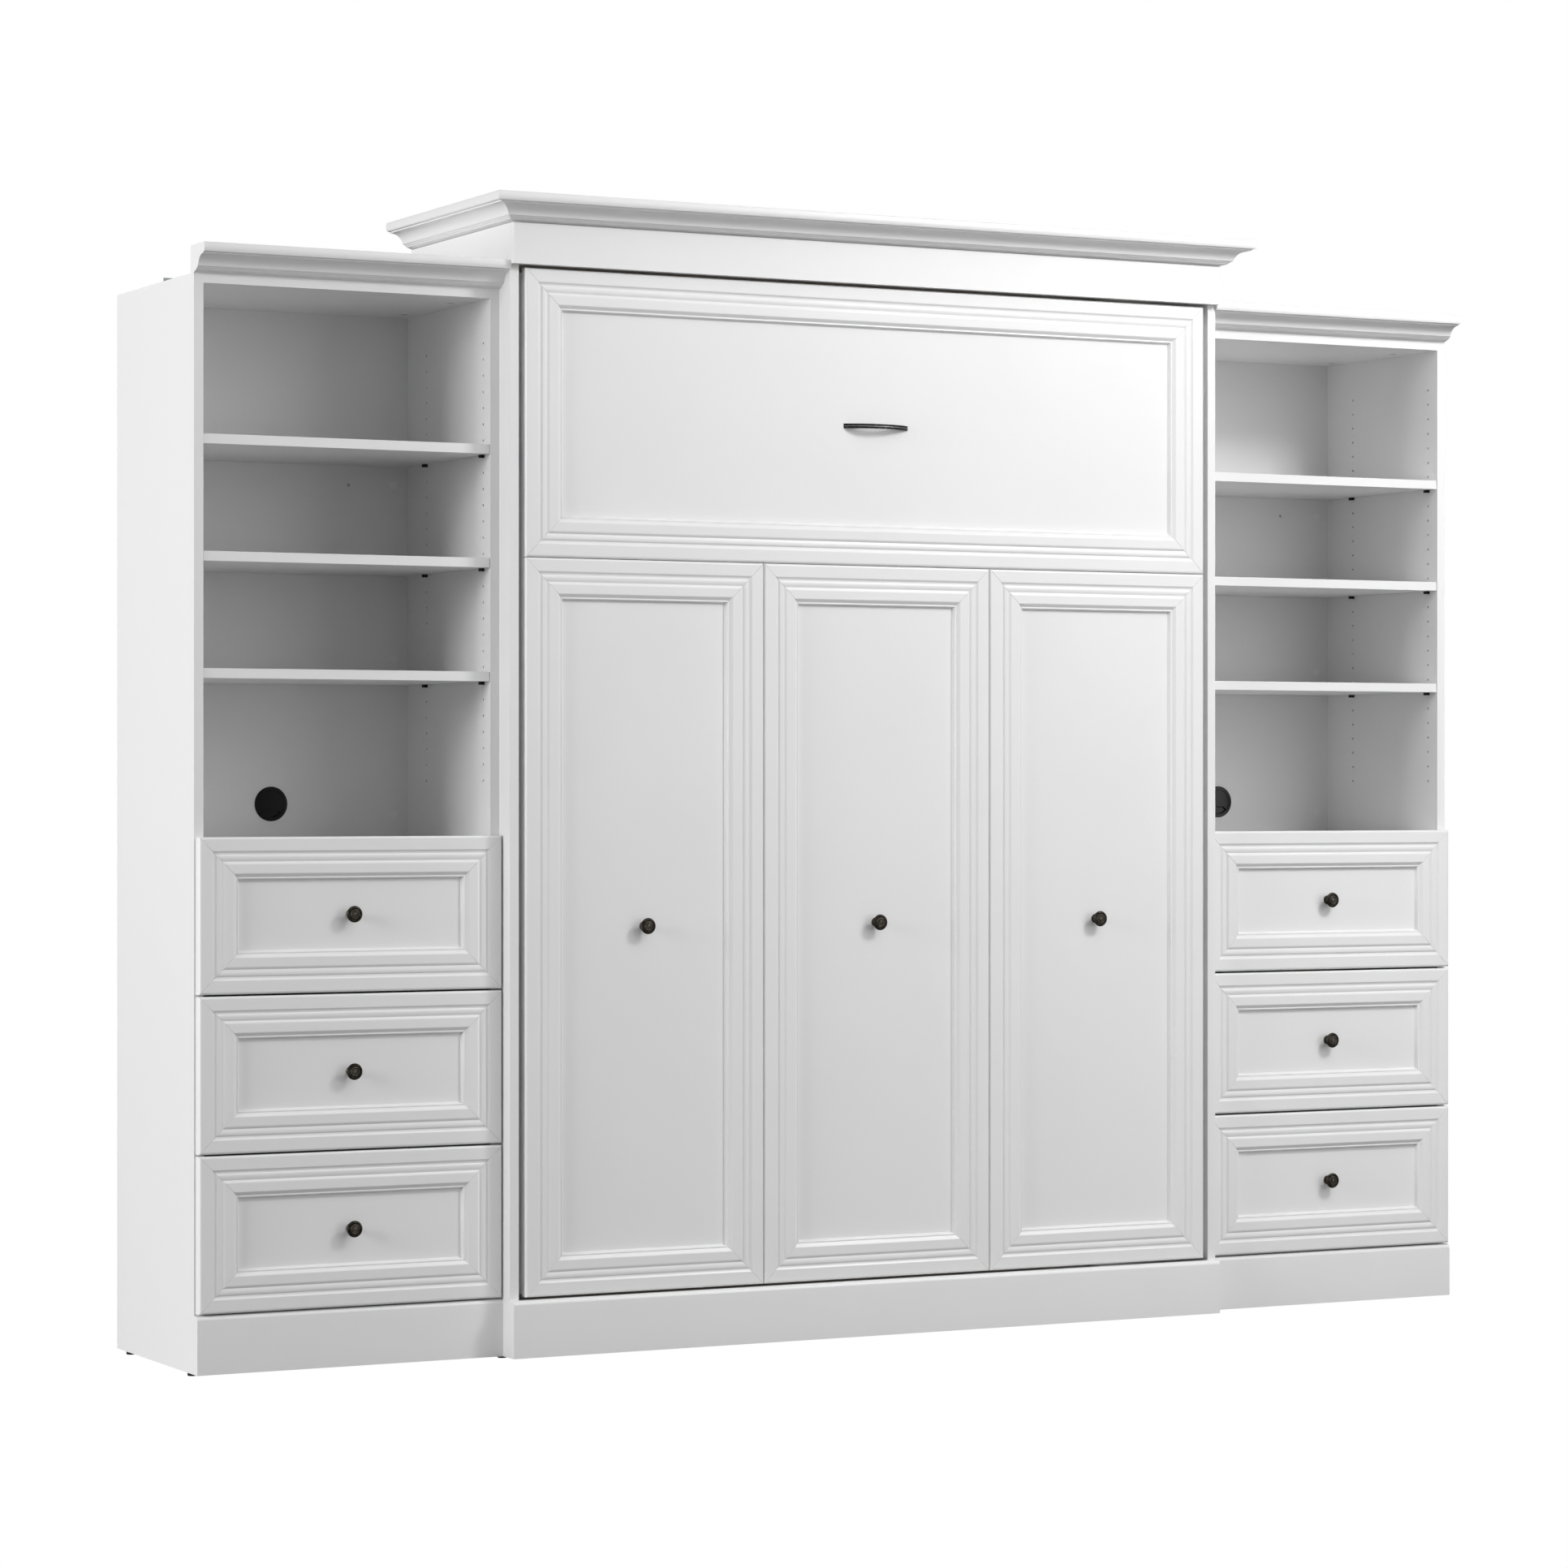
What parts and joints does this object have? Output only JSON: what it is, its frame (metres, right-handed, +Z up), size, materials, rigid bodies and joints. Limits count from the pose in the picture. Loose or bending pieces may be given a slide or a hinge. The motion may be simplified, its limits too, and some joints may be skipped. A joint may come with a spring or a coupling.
{
  "type": "wall bed with side cabinets",
  "caption": "White wall bed that folds down from a panelled cabinet, with open shelves and drawers on both sides and crown mouldings on top.",
  "frame": {"origin": "middle of the footprint, on the floor under the feet", "axes": "+X to the right seen from the front, +Y to the wall behind, +Z up"},
  "size_m": [2.908, 0.577, 2.2853],
  "materials": {
    "white_board": "white satin board with a smooth melamine or lacquer face",
    "white_thin_board": "thin white faced board",
    "drawer_board": "white faced board with white coated runner halves",
    "antique_bronze": "antique bronze, nearly black, softly rubbed on the rings",
    "dark_pewter": "dark brushed pewter",
    "gloss_black": "glossy black",
    "black_plastic": "matt black",
    "white_plastic": "white, satin",
    "white_steel": "white epoxy coat",
    "zinc_steel": "zinc plated",
    "beech": "plain sanded beech",
    "birch_slat": "laminated birch",
    "coated_steel": "grey powder coat",
    "black_steel": "black satin paint",
    "bright_rod": "ground and polished rod"
  },
  "bodies": {
    "cabinets": {"side_cabinet_panels": "white_board", "side_cabinet_boards": "white_board", "side_cabinet_backs": "white_thin_board", "adjustable_shelves": "white_board", "shelf_pins": "black_plastic", "plinth_boards": "white_board", "side_crowns": "white_board", "cable_grommets": "gloss_black", "cover_caps": "white_plastic", "glide_feet": "black_plastic", "fixed_runners": "white_steel", "fixing_screws": "zinc_steel", "wooden_dowels": "beech", "cam_fittings": "zinc_steel", "wall_brackets": "zinc_steel", "back_rails": "white_board", "bed_side_panels": "white_board", "bed_top_board": "white_board", "frieze_board": "white_board", "bed_crown": "white_board", "headboard_panel": "white_board", "corner_blocks": "beech", "pivot_plates": "zinc_steel"},
    "bed": {"door_front_left": "white_board", "door_front_centre": "white_board", "door_front_right": "white_board", "top_front": "white_board", "bed_knobs": "antique_bronze", "bed_handle": "dark_pewter", "backing_panel": "white_thin_board", "steel_frame": "coated_steel", "mattress_retainer": "coated_steel", "bed_slats": "birch_slat", "slat_holders": "black_plastic", "swing_arms": "zinc_steel", "leg_pins": "zinc_steel"},
    "leg_left": {"leg_left": "coated_steel"},
    "leg_right": {"leg_right": "coated_steel"},
    "strut_tube_left": {"strut_tube_left": "black_steel"},
    "strut_rod_left": {"strut_rod_left": "bright_rod"},
    "strut_tube_right": {"strut_tube_right": "black_steel"},
    "strut_rod_right": {"strut_rod_right": "bright_rod"},
    "drawer_left_low": {"drawer_front_left_low": "white_board", "drawer_box_left_low": "drawer_board", "drawer_knob_left_low": "antique_bronze"},
    "drawer_left_middle": {"drawer_front_left_middle": "white_board", "drawer_box_left_middle": "drawer_board", "drawer_knob_left_middle": "antique_bronze"},
    "drawer_left_high": {"drawer_front_left_high": "white_board", "drawer_box_left_high": "drawer_board", "drawer_knob_left_high": "antique_bronze"},
    "drawer_right_low": {"drawer_front_right_low": "white_board", "drawer_box_right_low": "drawer_board", "drawer_knob_right_low": "antique_bronze"},
    "drawer_right_middle": {"drawer_front_right_middle": "white_board", "drawer_box_right_middle": "drawer_board", "drawer_knob_right_middle": "antique_bronze"},
    "drawer_right_high": {"drawer_front_right_high": "white_board", "drawer_box_right_high": "drawer_board", "drawer_knob_right_high": "antique_bronze"}
  },
  "joints": [
    {"name": "bed_tilt", "type": "hinge", "parent": "cabinets", "child": "bed", "pos_m": [0, -0.1215, 0.33], "axis": [1, 0, 0], "range_deg": [0, 90]},
    {"name": "leg_left_swing", "type": "hinge", "parent": "bed", "child": "leg_left", "pos_m": [-0.7945, -0.1615, 1.95], "axis": [1, 0, 0], "range_deg": [-90, 0]},
    {"name": "leg_right_swing", "type": "hinge", "parent": "bed", "child": "leg_right", "pos_m": [0.7945, -0.1615, 1.95], "axis": [1, 0, 0], "range_deg": [-90, 0]},
    {"name": "strut_tube_left_swing", "type": "hinge", "parent": "cabinets", "child": "strut_tube_left", "pos_m": [-0.7865, -0.07491, 0.50387], "axis": [1, 0, 0], "range_deg": [0, 45]},
    {"name": "strut_rod_left_swing", "type": "hinge", "parent": "bed", "child": "strut_rod_left", "pos_m": [-0.7865, -0.1215, 0.15], "axis": [1, 0, 0], "range_deg": [-45, 0]},
    {"name": "strut_tube_right_swing", "type": "hinge", "parent": "cabinets", "child": "strut_tube_right", "pos_m": [0.7865, -0.07491, 0.50387], "axis": [1, 0, 0], "range_deg": [0, 45]},
    {"name": "strut_rod_right_swing", "type": "hinge", "parent": "bed", "child": "strut_rod_right", "pos_m": [0.7865, -0.1215, 0.15], "axis": [1, 0, 0], "range_deg": [-45, 0]},
    {"name": "drawer_left_low_slide", "type": "slide", "parent": "cabinets", "child": "drawer_left_low", "axis": [0, -1, 0], "range_m": [0, 0.35]},
    {"name": "drawer_left_middle_slide", "type": "slide", "parent": "cabinets", "child": "drawer_left_middle", "axis": [0, -1, 0], "range_m": [0, 0.35]},
    {"name": "drawer_left_high_slide", "type": "slide", "parent": "cabinets", "child": "drawer_left_high", "axis": [0, -1, 0], "range_m": [0, 0.35]},
    {"name": "drawer_right_low_slide", "type": "slide", "parent": "cabinets", "child": "drawer_right_low", "axis": [0, -1, 0], "range_m": [0, 0.35]},
    {"name": "drawer_right_middle_slide", "type": "slide", "parent": "cabinets", "child": "drawer_right_middle", "axis": [0, -1, 0], "range_m": [0, 0.35]},
    {"name": "drawer_right_high_slide", "type": "slide", "parent": "cabinets", "child": "drawer_right_high", "axis": [0, -1, 0], "range_m": [0, 0.35]}
  ],
  "couplings": [
    {"joint": "leg_left_swing", "follows": "bed_tilt", "ratio": -1},
    {"joint": "leg_right_swing", "follows": "bed_tilt", "ratio": -1},
    {"joint": "strut_tube_left_swing", "follows": "bed_tilt", "ratio": 0.5},
    {"joint": "strut_rod_left_swing", "follows": "bed_tilt", "ratio": -0.5},
    {"joint": "strut_tube_right_swing", "follows": "bed_tilt", "ratio": 0.5},
    {"joint": "strut_rod_right_swing", "follows": "bed_tilt", "ratio": -0.5}
  ]
}
